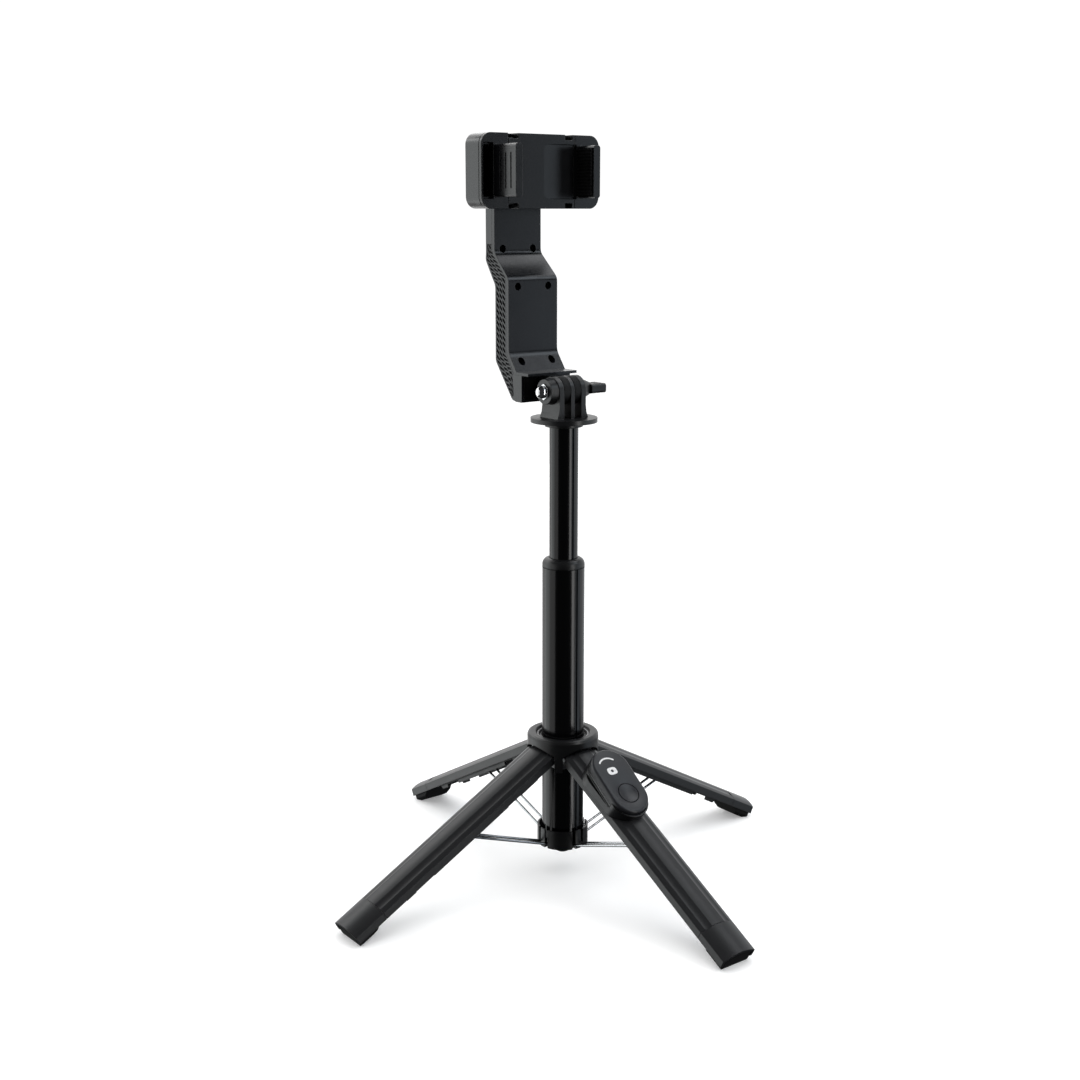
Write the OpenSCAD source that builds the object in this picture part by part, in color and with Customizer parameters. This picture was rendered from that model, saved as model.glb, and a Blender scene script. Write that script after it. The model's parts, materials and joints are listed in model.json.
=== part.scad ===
// Four-legged tripod selfie stick with an offset arm, a phone clamp and a clip-on remote.
// Origin: on the ground, under the mast axis. +Z is up and the clamp faces -Y.

/* [Mast] */
// Outer diameter of the main tube
main_tube_d = 25; // [24.8:0.1:25.2]
// Outer diameter of the retracted middle tube
mid_tube_d = 20.8; // [20.6:0.1:20.8]
// Outer diameter of the top tube
top_tube_d = 16.8; // [16.4:0.1:16.8]
// Height of the main tube's upper end
main_tube_top = 191; // [186:1:200]
// Length of top tube that stands out of the main tube at rest
top_extension = 76.6; // [60:0.2:76.6]

/* [Legs] */
// Angle between an open leg and the mast
leg_angle = 61.5; // [60:0.5:63]
// Length of a leg from its pivot to its end
leg_len = 154; // [150:0.5:158]
// Width of a leg
leg_w = 23.4; // [22:0.1:23.4]
// Radius of the cylinder that the folded legs make
leg_outer_r = 21.3; // [21:0.1:21.6]
// Distance along the leg from its pivot to the strut's pivot
strut_on_leg = 69.7; // [66:0.1:72]

/* [Phone clamp] */
// Width of the closed clamp
clamp_w = 83.2; // [81:0.1:84]
// Height of the clamp
clamp_h = 41; // [40:0.5:43]
// Depth of the clamp body
clamp_t = 15.2; // [14.6:0.2:16]
// How far the left jaw stands out of the phone plate
jaw_reach = 20.5; // [15:0.5:21]

/* [Arm] */
// Width of the offset arm below its bend
arm_w = 35.2; // [34:0.2:36]

/* [Remote] */
// Length of the remote
remote_len = 44; // [42:0.5:45]
// Width of the remote
remote_w = 25; // [24:0.5:25]

/* [Hidden] */

$fn = 48;
// Clearance of a running fit, on the radius
fit = 0.06;
// A cut runs this far past the face that it opens
cut = 0.5;
SIDES = ["front", "right", "back", "left"];

// Groove that keys the tubes to each other, along the front of each tube
groove_w = 1.6;
groove_depth = 0.6;
key_w = 1.2;
tube_wall = 1;

// Heights on the mast
ring_floor_z = 19.6;
tube_foot_z = 22.5;
ring_top_z = 31;
ring_r = 15.3;
ring_slit_w = 2.1;
ring_slit_r = 12.2;
spigot_top_z = 30.8;
cap_dome_r = 4;
cap_top_z = main_tube_top + 5.6;
mid_foot_z = 31.4;
top_foot_z = 112;
boss_z = cap_top_z + top_extension + 0.2;
disc_z = boss_z + 2.6;
disc_top_z = disc_z + 2.6;
pin_z = disc_top_z + 15.4;

// Leg section, in the folded position: distances from the mast axis
leg_pivot_r = 15.9;
leg_wall = 1.6;
leg_edge_r = 13.2;
rail_edge_r = 10.6;
rail_in = 7.4;
rail_out = 8.9;
web_low_r = 15.3;
web_high_r = 16.5;
sole_r = 8.7;
foot_len = 20;
pad_len = 16.4;
contact_len = 2.9;
pin_r = 1.2;

// Height of the leg pivots: the soles then stand on the ground
pivot_z = (leg_len - contact_len) * cos(leg_angle) + (leg_pivot_r - sole_r) * sin(leg_angle);
hub_bottom_z = pivot_z - 7.5;
hub_top_z = pivot_z + 11.5;
slot_top_z = pivot_z + 6.3;
slot_w = leg_w + 3;
bush_floor_z = slot_top_z + 1.4;
bush_r = 15.75;

// Struts: pivot on the leg and pivot in the ring, as [distance from the axis, height]
strut_r = 0.8;
strut_half_gap = 3;
strut_radial = 14;
ring_pivot = [13.4, 21.6];
leg_pivot = [leg_pivot_r + strut_on_leg * sin(leg_angle) + (strut_radial - leg_pivot_r) * cos(leg_angle),
    pivot_z - strut_on_leg * cos(leg_angle) + (strut_radial - leg_pivot_r) * sin(leg_angle)];
strut_len = norm(leg_pivot - ring_pivot);
strut_rise = atan2(leg_pivot[1] - ring_pivot[1], leg_pivot[0] - ring_pivot[0]);

// Remote: its underside, as distances along and off the leg, and its tilt against the leg
dock_start = 11.8;
dock_top_lift = 6.9;
remote_tilt = 8.5;
remote_base_t = 1.8;
remote_t = 6;
button_r = 6.2;
button_inset = 13;

// Head: three ears, with two prongs of the arm between them
ear_r = 8.2;
ear_inner_x = 1.3;
ear_outer_x = 6.2;
ear_edge_x = 9.4;
prong_gap = 0.35;
bolt_r = 2.45;
bore_r = bolt_r + fit;

// Clamp
plate_y = 21.8;
clamp_z = pin_z + 121.4;
clamp_mid_x = clamp_w / 2 - 41;
clamp_corner = 6.6;
clamp_back_y = plate_y + clamp_t;
left_seam_x = -22.4;
right_seam_x = 24.2;
seam_gap = 0.4;
jaw_t = 4.7;
left_jaw_h = 28.5;
right_jaw_h = 29.2;
right_jaw_reach = 14.2;
left_jaw_x = -32.6;
right_jaw_x = 26.9;
pad_t = 1.2;
clamp_wall = 1.8;
rail_h = 4.2;
rail_z = 16;

// Arm: side outline, as [y, height above the pin, radius of the bend]
arm_top = 136;
arm_top_w = 33.4;
bend_high = 76.1;
bend_low = 62;
arm_front = rounded([[43.8, arm_top, 0], [43.8, bend_high, 6], [29.1, bend_low, 6], [29.1, 19.6, 9],
    [21.5, 9.4, 0]]);
arm_back = rounded([[52.3, arm_top, 0], [52.3, 72, 5], [42, 58, 8], [42, 14.5, 5], [26, -6.6, 3],
    [22, -7.6, 0], [16.8, -7.6, 0]]);
shell_t = 2.4;
arm_wall = 1.6;
lip_y = 10.6;
mouth_y = 16.8;
lip_low = 7.8;
screw_x = 10.9;
screw_spots = [[43.8, 78.4], [29.1, 57.4], [26.4, 15]];
// Sunk panel in each side of the arm
panel_depth = 0.7;
panel = [[47, 81], [47, 77.4], [32.4, 62.8], [32.4, 19.2], [25.8, 9.6], [24.4, -4], [26.2, -5],
    [40.8, 15.2], [40.8, 58.4], [51.1, 72.5], [51.1, 81]];

// ---------- shared shapes ----------

// An open outline whose corners [x, y, radius] are rounded; a radius of 0 keeps the corner
function rounded(corners, steps = 8) = [for (i = [0:len(corners) - 1])
    let (p = [corners[i][0], corners[i][1]], r = corners[i][2])
    each r == 0 ? [p] : bend(p, unit(flat(corners[i - 1]) - p), unit(flat(corners[i + 1]) - p), r, steps)];
function flat(p) = [p[0], p[1]];
function unit(v) = v / norm(v);
// The arc of radius r that joins the two directions a and b leaving the corner p
function bend(p, a, b, r, steps) =
    let (half = acos(a * b) / 2, centre = p + unit(a + b) * r / sin(half),
        start = p + a * r / tan(half) - centre, turn = 180 - 2 * half,
        way = start[0] * (b - a)[1] - start[1] * (b - a)[0] > 0 ? 1 : -1)
    [for (k = [0:steps]) let (t = way * turn * k / steps)
        centre + [start[0] * cos(t) - start[1] * sin(t), start[0] * sin(t) + start[1] * cos(t)]];

module rounded_rect(w, h, r) {
    square([w - 2 * r, h], center = true);
    square([w, h - 2 * r], center = true);
    for (x = [-1, 1], y = [-1, 1])
        translate([x * (w / 2 - r), y * (h / 2 - r)]) circle(r);
}

module sleeve(r_out, r_in, z0, z1) {
    translate([0, 0, z0]) difference() {
        cylinder(r = r_out, h = z1 - z0);
        translate([0, 0, -cut]) cylinder(r = r_in, h = z1 - z0 + 2 * cut);
    }
}

// A strip along the front of a tube: the groove in it, or the key that runs there
module front_strip(w, r_in, r_out, z0, z1) {
    translate([-w / 2, -r_out, z0]) cube([w, r_out - r_in, z1 - z0]);
}

module grooved_tube(d, z0, z1) {
    difference() {
        sleeve(d / 2, d / 2 - tube_wall, z0, z1);
        front_strip(groove_w, d / 2 - groove_depth, d / 2 + cut, z0 - cut, z1 + cut);
    }
}

// Stand a shape made in the leg's own frame (X across, Y outward, Z along) on one side
module on_leg(side) {
    rotate([0, 0, 90 * side]) translate([0, -leg_pivot_r, pivot_z]) rotate([180 - leg_angle, 0, 0])
        children();
}

// A cylinder along X
module rod_x(r, x0, x1) {
    translate([x0, 0, 0]) rotate([0, 90, 0]) cylinder(r = r, h = x1 - x0);
}

// A cylinder along Y
module rod_y(r, y0, y1) {
    translate([0, y0, 0]) rotate([-90, 0, 0]) cylinder(r = r, h = y1 - y0);
}

// A side outline, given as [y, z] points, made x0 to x1 wide
module slab_x(points, x0, x1) {
    translate([x0, 0, 0]) rotate([90, 0, 90]) linear_extrude(height = x1 - x0) polygon(points);
}

// A shape drawn on the XZ plane, made y0 to y1 deep
module slab_y(y0, y1) {
    translate([0, y1, 0]) rotate([90, 0, 0]) linear_extrude(height = y1 - y0) children();
}

// ---------- mast ----------

module main_tube() {
    color("#2a2b2e") grooved_tube(main_tube_d, tube_foot_z, main_tube_top);
}

// What lies under the dome of the cap, between two radii
module cap_dome(r_in, r_out, z0) {
    rotate_extrude() difference() {
        translate([r_in, z0]) square([r_out - r_in, cap_top_z - z0]);
        translate([main_tube_d / 2 - cap_dome_r, cap_top_z - cap_dome_r]) difference() {
            square(cap_dome_r + cut);
            circle(cap_dome_r, $fn = 64);
        }
    }
}

module main_tube_cap() {
    r = main_tube_d / 2;
    bore = mid_tube_d / 2 + fit;
    color("#3a3b3e") {
        difference() {
            union() {
                cap_dome(bore, r, main_tube_top);
                sleeve(r - tube_wall, bore, main_tube_top - 10, main_tube_top);
            }
            sleeve(r + 1, r - 0.5, main_tube_top - cut, main_tube_top + 0.5);
            front_strip(groove_w, r - tube_wall - groove_depth, r - tube_wall + fit,
                main_tube_top - 11, main_tube_top - fit);
        }
        front_strip(key_w, mid_tube_d / 2 - groove_depth + 0.2, bore + 0.3,
            main_tube_top - 8, main_tube_top + 2);
    }
}

module mid_tube() {
    color("#303134") grooved_tube(mid_tube_d, mid_foot_z, main_tube_top + 0.5);
}

module mid_tube_cap() {
    bore = top_tube_d / 2 + fit;
    spigot_r = mid_tube_d / 2 - tube_wall;
    color("#47484b") {
        difference() {
            union() {
                cap_dome(bore, mid_tube_d / 2 - 0.05, main_tube_top + 0.5);
                sleeve(spigot_r, bore, main_tube_top - 8, main_tube_top + 0.5);
            }
            front_strip(groove_w, spigot_r - groove_depth, spigot_r + cut,
                main_tube_top - 9, main_tube_top + 0.5 - fit);
            front_strip(groove_w, mid_tube_d / 2 - groove_depth, mid_tube_d / 2 + cut,
                main_tube_top, cap_top_z + cut);
        }
        front_strip(key_w, top_tube_d / 2 - groove_depth + 0.2, bore + 0.3,
            main_tube_top - 6, main_tube_top + 2);
    }
}

module mid_tube_glide() {
    r = main_tube_d / 2 - tube_wall - fit;
    color("#8c8f92") difference() {
        sleeve(r, mid_tube_d / 2, mid_foot_z, mid_foot_z + 10);
        front_strip(groove_w * 2, r - groove_depth, r + cut, mid_foot_z - cut, mid_foot_z + 11);
    }
}

module top_tube() {
    color("#303134") grooved_tube(top_tube_d, top_foot_z, disc_z);
}

module top_tube_glide() {
    r = mid_tube_d / 2 - tube_wall - fit;
    color("#8c8f92") difference() {
        sleeve(r, top_tube_d / 2, top_foot_z, top_foot_z + 10);
        front_strip(groove_w * 2, r - groove_depth, r + cut, top_foot_z - cut, top_foot_z + 11);
    }
}

module strut_ring() {
    wall_t = 1;
    color("#2e2f32") difference() {
        union() {
            translate([0, 0, ring_floor_z]) cylinder(r = ring_r, h = tube_foot_z - ring_floor_z);
            sleeve(ring_r, ring_r - wall_t, tube_foot_z, ring_top_z);
            translate([0, 0, tube_foot_z])
                cylinder(r = main_tube_d / 2 - tube_wall, h = spigot_top_z - tube_foot_z);
        }
        front_strip(groove_w * 2, main_tube_d / 2 - tube_wall - groove_depth, main_tube_d / 2,
            tube_foot_z, ring_top_z);
        for (k = [0:3]) rotate([0, 0, 90 * k]) {
            for (s = [-1, 1])
                translate([s * strut_half_gap - ring_slit_w / 2, -ring_r - cut, ring_floor_z - cut])
                    cube([ring_slit_w, ring_r + cut - ring_slit_r, ring_top_z - ring_floor_z + 2 * cut]);
            translate([0, -ring_pivot[0], ring_pivot[1]])
                rod_x(strut_r + fit, -strut_half_gap - 1, strut_half_gap + 1);
        }
        translate([0, 0, ring_floor_z - cut]) cylinder(r = 1.9, h = 20);
        translate([0, 0, tube_foot_z + 1.5]) cylinder(r = 6, h = 20);
    }
}

module end_plug() {
    r = 8.2;
    tip_z = 13.6;
    shoulder_z = 16.6;
    color("#242527") difference() {
        union() {
            translate([0, 0, shoulder_z]) cylinder(r = r, h = ring_floor_z - shoulder_z);
            translate([0, 0, tip_z]) cylinder(r1 = 3.6, r2 = r, h = shoulder_z - tip_z);
        }
        translate([0, 0, tip_z - cut]) cylinder(r = 1.9, h = 20);
        translate([0, 0, tip_z - cut]) cylinder(r = 2.9, h = 2 + cut);
        for (k = [0:3]) rotate([0, 0, 45 + 90 * k])
            translate([r - 1.2, -1.4, shoulder_z]) cube([3, 2.8, 1.6]);
    }
}

module end_screw() {
    color("#b9bcc0") {
        translate([0, 0, 13.9]) cylinder(r = 2.7, h = 1.7);
        translate([0, 0, 15.6]) cylinder(r = 1.9, h = 12);
    }
}

// ---------- hub ----------

// What one leg's socket takes out of the collar: an arch, seen from outside
module leg_socket() {
    arch_r = 22;
    slab_y(-30, -leg_pivot_r + 3.6) intersection() {
        translate([0, slot_top_z - arch_r]) circle(arch_r);
        translate([-slot_w / 2, hub_bottom_z - cut]) square([slot_w, 30]);
    }
}

// The ear inside a socket that holds the leg's pin
module knuckle() {
    half_w = 7;
    r = 2.6;
    back_y = -leg_pivot_r + r;
    difference() {
        union() {
            translate([0, -leg_pivot_r, pivot_z]) rod_x(r, -half_w, half_w);
            translate([-half_w, -leg_pivot_r - 0.8, pivot_z])
                cube([2 * half_w, r + 0.8, slot_top_z + 0.7 - pivot_z]);
        }
        translate([0, -leg_pivot_r, pivot_z]) rod_x(pin_r, -half_w - cut, half_w + cut);
        translate([-half_w - cut, back_y, pivot_z - r - cut]) cube([20, 5, 20]);
    }
}

module hub_collar() {
    bore = 12.9;
    edge = 1.8;
    color("#37383b") {
        difference() {
            rotate_extrude() polygon([[bore, hub_bottom_z], [leg_outer_r, hub_bottom_z],
                [leg_outer_r, hub_top_z - edge], [leg_outer_r - 0.3 * edge, hub_top_z - 0.3 * edge],
                [leg_outer_r - edge, hub_top_z], [16.7, hub_top_z], [16.2, hub_top_z - 0.4],
                [16.2, hub_top_z - 1.4], [bush_r, hub_top_z - 1.4], [bush_r, bush_floor_z],
                [bore, bush_floor_z]]);
            for (k = [0:3]) rotate([0, 0, 90 * k]) leg_socket();
        }
        for (k = [0:3]) rotate([0, 0, 90 * k]) knuckle();
    }
}

module hub_bush() {
    bore = main_tube_d / 2 + fit;
    r = bush_r - 0.05;
    color("#28292c") {
        rotate_extrude() polygon([[bore, bush_floor_z], [r, bush_floor_z],
            [r, hub_top_z - 2.6], [r - 1.6, hub_top_z - 2.6], [bore + 0.4, bush_floor_z + 1.6],
            [bore, bush_floor_z + 1.2]]);
        front_strip(key_w, main_tube_d / 2 - groove_depth + 0.2, bore + 0.3,
            bush_floor_z, bush_floor_z + 2);
    }
}

// Felt-soft wiper ring that lies on the bush
module bush_ring() {
    color("#b4b7ba") sleeve(bush_r - 0.3, bush_r - 1.1, hub_top_z - 2.6, hub_top_z - 1.5);
}

module leg_pins() {
    color("#c5c8cc") for (k = [0:3]) rotate([0, 0, 90 * k])
        translate([0, -leg_pivot_r, pivot_z]) rod_x(pin_r, -leg_w / 2, leg_w / 2);
}

// ---------- legs ----------

// Section of a leg, X across and Y outward from the pivot; it is open towards the mast
module leg_section(r, half_w, low_r) {
    translate([0, -leg_pivot_r]) intersection() {
        circle(r, $fn = 96);
        translate([-half_w, low_r]) square([2 * half_w, 30]);
    }
}

module leg_shell(side) {
    inner_r = leg_outer_r - leg_wall;
    valley_r = 9;
    valley_depth = 0.45;
    valley_x = 6.8;
    color("#3d3e42") on_leg(side) difference() {
        linear_extrude(height = leg_len - foot_len - 0.2) difference() {
            leg_section(leg_outer_r, leg_w / 2, leg_edge_r);
            leg_section(inner_r, leg_w / 2 - leg_wall, leg_edge_r - 1);
            for (s = [-1, 1])
                translate([0, -leg_pivot_r]) rotate([0, 0, -s * asin(valley_x / leg_outer_r)])
                    translate([0, leg_outer_r - valley_depth + valley_r]) circle(valley_r);
        }
        rod_x(pin_r + fit, -20, 20);
    }
}

module leg_insert(side) {
    lug_r = 2.7;
    web_start = 9;
    end = 121;
    half_w = leg_w / 2 - leg_wall - 0.05;
    low = rail_edge_r - leg_pivot_r;
    web_low = web_low_r - leg_pivot_r;
    web_high = web_high_r - leg_pivot_r;
    windows = [[28, 10], [97, 14]];
    color("#2b2c2f") on_leg(side) difference() {
        union() {
            translate([-half_w, web_low, web_start]) cube([2 * half_w, web_high - web_low, end - web_start]);
            for (s = [-1, 1]) {
                x0 = s > 0 ? rail_in : -rail_out;
                slab_x([[web_low + 0.2, 0], [web_low + 0.2, end], [low, end - 3], [low, 14],
                    [-lug_r, 9], [-lug_r, 0]], x0, x0 + rail_out - rail_in);
                rod_x(lug_r, x0, x0 + rail_out - rail_in);
                translate([x0, 0, 0]) slab_x([[-lug_r, 0], [1.5, 0], [web_high, web_start + 1],
                    [web_low, web_start + 1]], 0, rail_out - rail_in);
            }
        }
        translate([-20, 1.55, -10]) cube([40, 5, 19.1]);
        rod_x(pin_r + fit, -20, 20);
        translate([0, strut_radial - leg_pivot_r, strut_on_leg]) rod_x(strut_r + fit, -20, 20);
        for (w = windows) translate([-6, web_low - cut, w[0]]) cube([12, 3, w[1]]);
        for (w = windows) translate([-20, low - cut, w[0]]) cube([40, 2.6, w[1]]);
    }
}

module foot_cap(side) {
    color("#3d3e42") on_leg(side) translate([0, 0, leg_len - foot_len]) {
        linear_extrude(height = foot_len) difference() {
            leg_section(leg_outer_r, leg_w / 2, leg_edge_r);
            leg_section(leg_outer_r - leg_wall, leg_w / 2 - leg_wall, leg_edge_r - 1);
        }
    }
}

// The sole fills the foot and stands out below it; it narrows so that four folded feet fit
module foot_pad(side) {
    half_w = leg_w / 2 - leg_wall;
    start = leg_len - pad_len;
    low = sole_r - leg_pivot_r;
    top_r = leg_outer_r - leg_wall;
    low_w = sole_r - 0.7;
    color("#151617") on_leg(side) intersection() {
        linear_extrude(height = leg_len) translate([0, -leg_pivot_r]) intersection() {
            circle(top_r, $fn = 96);
            polygon([[-low_w, sole_r], [low_w, sole_r], [half_w, sole_r + half_w - low_w],
                [half_w, 30], [-half_w, 30], [-half_w, sole_r + half_w - low_w]]);
        }
        slab_x([[low, start + 6], [low, leg_len - contact_len],
            [low + (contact_len - 0.3) / tan(leg_angle), leg_len - 0.3], [10, leg_len - 0.3],
            [10, start], [-2.6, start]], -half_w, half_w);
    }
}

// Two wires, a cross-bar in the leg's rails and a hooked cross-bar in the ring
module strut(side) {
    bar_half = 3.8;
    color("#c9ccd0") rotate([0, 0, 90 * side]) translate([0, -ring_pivot[0], ring_pivot[1]])
        rotate([-strut_rise, 0, 0]) {
            for (s = [-1, 1]) translate([s * strut_half_gap, 0, 0])
                rotate([90, 0, 0]) cylinder(r = strut_r, h = strut_len);
            rod_x(strut_r, -bar_half, bar_half);
            translate([0, -strut_len, 0]) rod_x(strut_r, -rail_out, rail_out);
        }
}

// ---------- remote and its dock ----------

// The remote's own frame: X across, Y along it from its lower end, Z out of its face
module on_remote() {
    lift = dock_top_lift - remote_len / 2 * sin(remote_tilt);
    on_leg(0) translate([0, leg_outer_r - leg_pivot_r + lift, dock_start + remote_len / 2])
        rotate([remote_tilt, 0, 0]) rotate([-90, 0, 0]) translate([0, -remote_len / 2, 0]) children();
}

module stadium(w, l) {
    translate([0, w / 2]) circle(w / 2);
    translate([0, l - w / 2]) circle(w / 2);
    translate([-w / 2, w / 2]) square([w, l - w]);
}

module remote_dock() {
    lip = 1.1;
    gap = 0.3;
    floor_t = 12;
    dock_slot = [[11, -0.9], [37, -0.9], [37, -3.4], [31, -3.4]];
    color("#2c2d30") difference() {
        on_remote() difference() {
            translate([0, -lip - gap, -floor_t])
                linear_extrude(height = floor_t + 3.2) stadium(remote_w + 0.4, remote_len + lip);
            translate([0, -gap, -0.3]) linear_extrude(height = 20)
                stadium(remote_w + 2 * gap, remote_len + 9);
        }
        on_leg(0) translate([0, -leg_pivot_r, -10]) cylinder(r = leg_outer_r + 0.02, h = 90, $fn = 96);
        on_leg(0) translate([-20, -30, -10]) cube([40, 30 - 0.4, 90]);
        for (s = [-1, 1]) on_remote() translate([s * (remote_w / 2 + 0.7), 0, 0])
            slab_x(dock_slot, -1.9, 1.9);
    }
}

module remote_base() {
    color("#2a2b2d") on_remote() difference() {
        linear_extrude(height = remote_base_t) stadium(remote_w, remote_len);
        translate([0, 0, 0.8]) linear_extrude(height = 3) translate([0, 1.4])
            stadium(remote_w - 2.8, remote_len - 2.8);
    }
}

module remote_top_shell() {
    roof = 1.2;
    color("#5b5c60") on_remote() difference() {
        translate([0, 0, remote_base_t]) linear_extrude(height = remote_t - remote_base_t)
            stadium(remote_w, remote_len);
        translate([0, 1.4, 0]) linear_extrude(height = remote_t - roof)
            stadium(remote_w - 2.8, remote_len - 2.8);
        translate([0, button_inset, 0]) cylinder(r = button_r + 0.25, h = 20);
    }
}

module remote_button() {
    color("#57585c") on_remote() translate([0, button_inset, remote_t - 1.9]) {
        cylinder(r = button_r, h = 2.0);
        translate([0, 0, -0.5]) cylinder(r = 1.6, h = 0.6);
    }
}

module remote_board() {
    color("#2f6b45") on_remote() translate([0, 1.8, 2.0])
        linear_extrude(height = 0.8) translate([0, 0]) stadium(remote_w - 4.4, 22);
}

module remote_battery() {
    color("#b6b8bb") on_remote() translate([0, 33 - 0.5, 1.2]) cylinder(r = 8, h = 1.6);
}

// ---------- head ----------

module ear(x0, x1) {
    translate([0, 0, pin_z]) rod_x(ear_r, x0, x1);
    translate([x0, -ear_r, disc_top_z - 0.4]) cube([x1 - x0, 2 * ear_r, pin_z - disc_top_z + 0.4]);
}

module head_mount() {
    disc_r = 19.2;
    flare = 1.6;
    boss_r = 10.9;
    nut_af = 8;
    color("#404145") difference() {
        union() {
            translate([0, 0, disc_z]) cylinder(r = disc_r, h = disc_top_z - disc_z);
            translate([0, 0, boss_z]) cylinder(r = boss_r, h = disc_z - boss_z + 0.1);
            for (x = [[-ear_edge_x, -ear_outer_x], [-ear_inner_x, ear_inner_x], [ear_outer_x, ear_edge_x]])
                ear(x[0], x[1]);
            translate([-ear_edge_x, 0, pin_z]) rotate([0, -90, 0]) cylinder(r1 = 7.6, r2 = 7, h = 4.8);
            slab_y(-ear_r, ear_r) for (s = [-1, 1]) polygon([[s * (ear_edge_x - 1), disc_top_z - 0.3],
                [s * (ear_edge_x + flare), disc_top_z - 0.3], [s * (ear_edge_x + flare), disc_top_z + 0.3],
                [s * (ear_edge_x + 0.5), disc_top_z + 3.2], [s * ear_edge_x, disc_top_z + 7],
                [s * (ear_edge_x - 1), disc_top_z + 7]]);
        }
        translate([0, 0, pin_z]) rod_x(bore_r, -20, 20);
        translate([-ear_edge_x - 4.8 - cut, 0, pin_z]) rotate([0, 90, 0])
            cylinder(r = (nut_af / 2 + 0.1) / cos(30), h = 3.4 + cut, $fn = 6);
        translate([0, 0, boss_z - cut]) cylinder(r = top_tube_d / 2, h = disc_z - boss_z + cut);
    }
    color("#404145")
        front_strip(groove_w, top_tube_d / 2 - groove_depth, top_tube_d / 2 + 0.3, boss_z, disc_z);
}

module head_bolt() {
    color("#b9bcc0") translate([0, 0, pin_z]) rod_x(bolt_r, -13.2, 24);
}

module thumb_handle() {
    cone_x = ear_edge_x + 0.3;
    neck_x = 17.9;
    end_x = 26.2;
    paddle_w = 12;
    paddle_t = 5.4;
    color("#3a3b3f") translate([0, 0, pin_z]) difference() {
        union() {
            translate([cone_x, 0, 0]) rotate([0, 90, 0]) cylinder(r1 = 6.9, r2 = 3.6, h = neck_x - cone_x);
            translate([neck_x - 2, 0, 0]) rotate([90, 0, 90]) linear_extrude(height = end_x - neck_x + 2)
                rounded_rect(paddle_w, paddle_t, 1.6);
        }
        rod_x(bolt_r, 0, 24);
        for (s = [-1, 1], x = [neck_x + 1.8, neck_x + 4.4])
            translate([x, -10, s * (paddle_t / 2 + 0.5) - 0.9]) cube([1.2, 20, 1.8]);
    }
}

module dome_nut() {
    af = 8;
    color("#dfe2e6") translate([-ear_edge_x - 4.8 + 3.3, 0, pin_z]) rotate([0, -90, 0]) difference() {
        union() {
            cylinder(r = af / 2 / cos(30), h = 4, $fn = 6);
            translate([0, 0, 4]) cylinder(r = 3.7, h = 1);
            intersection() {
                translate([0, 0, 5]) sphere(r = 3.7);
                translate([0, 0, 4.9]) cylinder(r = 5, h = 5);
            }
        }
        translate([0, 0, -cut]) cylinder(r = bore_r, h = 2.9 + cut);
    }
}

// ---------- arm ----------

// Points of a side outline, moved by dy and up to the pin's height
function side(points, dy = 0) = [for (p = points) [p[0] + dy, p[1] + pin_z]];
function backwards(list) = [for (i = [len(list) - 1:-1:0]) list[i]];

// Outline of the arm, seen from the front: narrower above the bend, with round upper corners
module arm_face(inset = 0) {
    r = 9 - inset;
    high = arm_top_w / 2 - inset;
    low = arm_w / 2 - inset;
    top = arm_top - inset;
    right = rounded([[0, top, 0], [high, top, r], [high, bend_high, 0], [low, bend_low, 0], [low, -12, 0]]);
    translate([0, pin_z]) polygon(concat(right, backwards([for (p = right) [-p[0], p[1]]])));
}

module at_screws() {
    for (s = [-1, 1], p = screw_spots)
        translate([s * screw_x, p[0], p[1] + pin_z]) children();
}

module arm_front_shell() {
    lip = [[lip_y, 9.4], [lip_y, lip_low]];
    inner = backwards([for (p = arm_front) p[1] > 10
        ? [p[0] + shell_t, p[1]] : [p[0] + shell_t, p[1] - 1.6]]);
    color("#4b4c51") difference() {
        intersection() {
            union() {
                slab_x(side(concat(arm_front, lip, inner)), -arm_w / 2, arm_w / 2);
                at_screws() rod_y(3.2, 1.6, 4.6);
            }
            slab_y(0, 60) arm_face();
        }
        at_screws() rod_y(1.2, -8, 8);
        at_screws() rod_y(2.2, -8, 3.6);
        translate([0, 0, clamp_z]) rod_y(bore_r, 40, 60);
    }
}

module arm_back_shell() {
    seam = [for (p = arm_front) p[1] > 10
        ? [p[0] + shell_t + 0.05, p[1]] : [p[0] + shell_t + 0.05, p[1] - 1.65]];
    outline = concat(arm_back, [[mouth_y, lip_low - 0.05]], backwards(seam));
    cavity = [[50.6, arm_top - 1.6], [50.6, 72.4], [40.3, 58.4], [40.3, 14.9], [25, -5.3], [22, -6.15],
        [10, -6.15], [10, 6.15], [24.5, 6.15], [31, 14.9], [31, 60], [45.6, 75.4], [45.6, arm_top - 1.6]];
    color("#46474c") difference() {
        intersection() {
            slab_x(side(outline), -arm_w / 2, arm_w / 2);
            slab_y(0, 60) arm_face();
        }
        difference() {
            intersection() {
                slab_x(side(cavity), -arm_w / 2 + arm_wall, arm_w / 2 - arm_wall);
                slab_y(0, 60) arm_face(arm_wall);
            }
            at_screws() rod_y(3, 4, 14);
            translate([0, 0, clamp_z]) rod_y(6.4, 40, 60);
        }
        at_screws() rod_y(3.25, -2, 4.65);
        at_screws() rod_y(1.1, -5, 7.2);
        for (s = [-1, 1]) intersection() {
            slab_x(side(panel), min(s * 10, s * 30), max(s * 10, s * 30));
            slab_y(0, 60) difference() {
                translate([-30, pin_z - 12]) square([60, arm_top]);
                arm_face(panel_depth);
            }
        }
        translate([0, 0, clamp_z]) rod_y(bore_r, 40, 60);
        translate([0, 0, clamp_z]) rod_y(4.6, 50.2, 60);
    }
}

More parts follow.
